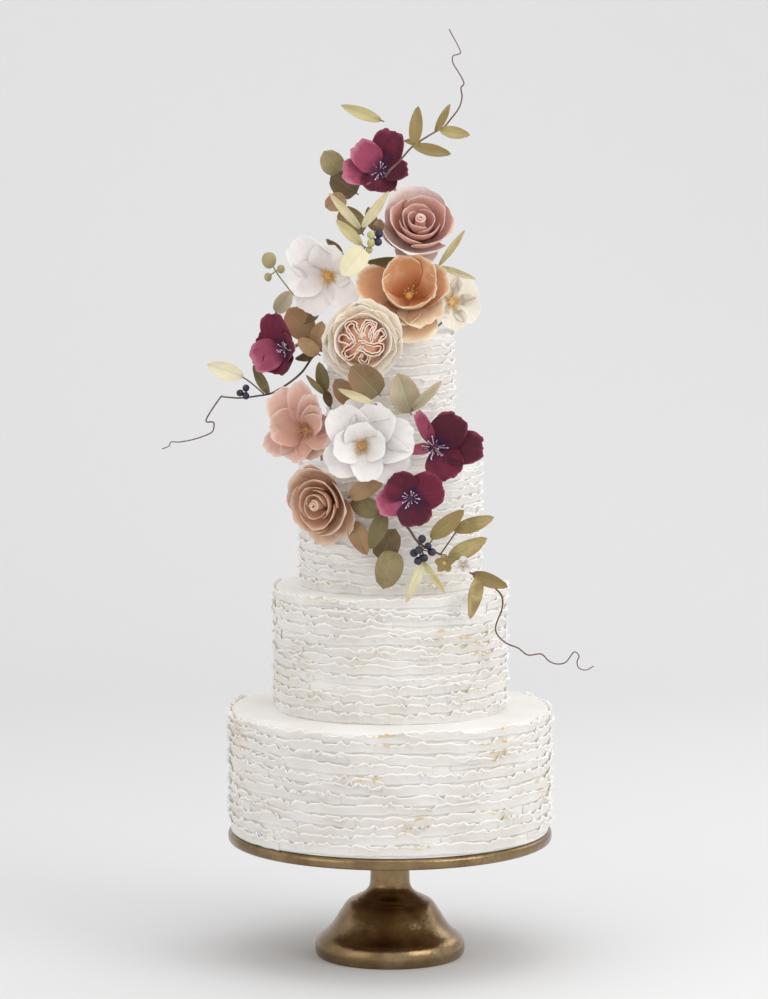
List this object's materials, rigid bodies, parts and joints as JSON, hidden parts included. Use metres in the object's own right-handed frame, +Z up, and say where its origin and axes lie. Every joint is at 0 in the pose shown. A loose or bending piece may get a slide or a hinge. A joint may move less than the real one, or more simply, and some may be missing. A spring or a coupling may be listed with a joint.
{
  "type": "tiered wedding cake",
  "caption": "Round tiered wedding cake covered in rows of thin frills, on a turned footed brass stand, with a cascade of sugar flowers, leaves, berries and wired twigs.",
  "frame": {"origin": "centre of the stand's flat underside, on the cake's upright axis", "axes": "+Z up along the cake's axis, -Y towards the side that carries the flowers, +X to the right as that side is seen"},
  "size_m": [0.4263, 0.326, 0.9316],
  "materials": {
    "brass": "satin antique",
    "icing": "matte ivory sugar paste",
    "wine_sugar": "matte dusted sugar paste",
    "dusty_sugar": "matte dusted sugar paste",
    "clay_sugar": "matte dusted sugar paste",
    "cream_sugar": "matte dusted sugar paste",
    "peach_sugar": "matte dusted sugar paste",
    "blush_sugar": "matte dusted sugar paste",
    "white_sugar": "matte sugar paste",
    "olive_leaf": "matte dusted sugar paste",
    "bronze_leaf": "matte dusted sugar paste",
    "pale_leaf": "matte dusted sugar paste",
    "twig": "taped wire",
    "berry": "satin"
  },
  "bodies": {
    "root": {"stand_plate": "brass", "stand_foot": "brass", "tier_bottom": "icing", "tier_third": "icing", "tier_second": "icing", "tier_top": "icing", "flower_wine_top": "wine_sugar", "flower_wine_left": "wine_sugar", "flower_wine_right": "wine_sugar", "flower_wine_low": "wine_sugar", "flower_rose_pink": "dusty_sugar", "flower_rose_clay": "clay_sugar", "flower_garden_rose": "cream_sugar", "flower_cream_back": "cream_sugar", "blossom_olive": "cream_sugar", "flower_peach": "peach_sugar", "flower_blush": "blush_sugar", "flower_white_left": "white_sugar", "flower_white_large": "white_sugar", "blossom_white": "white_sugar", "berries_top": "berry", "berries_left": "berry", "berries_low": "berry", "twig_top": "twig", "twig_left": "twig", "twig_low": "twig", "bud_spray": "pale_leaf", "leaf_pale_a": "pale_leaf", "leaf_pale_b": "pale_leaf", "leaf_pale_c": "pale_leaf", "leaf_pale_d": "pale_leaf", "leaf_blades": "pale_leaf", "leaf_top_left": "pale_leaf", "leaf_left_a": "pale_leaf", "leaf_mid_thin": "pale_leaf", "leaf_sage": "pale_leaf", "leaf_sage_thin": "pale_leaf", "leaf_round_a": "olive_leaf", "leaf_round_d": "olive_leaf", "leaf_dark_a": "olive_leaf", "leaf_arch": "olive_leaf", "leaf_left_b": "olive_leaf", "leaf_mid_a": "olive_leaf", "leaf_mid_b": "olive_leaf", "leaf_low_a": "olive_leaf", "leaf_low_b": "olive_leaf", "leaf_low_d": "olive_leaf", "leaf_low_f": "olive_leaf", "leaf_round_b": "bronze_leaf", "leaf_round_c": "bronze_leaf", "leaf_dark_b": "bronze_leaf", "leaf_small_a": "bronze_leaf", "leaf_left_c": "bronze_leaf", "leaf_left_d": "bronze_leaf", "leaf_left_e": "bronze_leaf", "leaf_mid_c": "bronze_leaf", "leaf_mid_round": "bronze_leaf", "leaf_mid_dark": "bronze_leaf", "leaf_low_c": "bronze_leaf", "leaf_low_e": "bronze_leaf"}
  },
  "joints": []
}
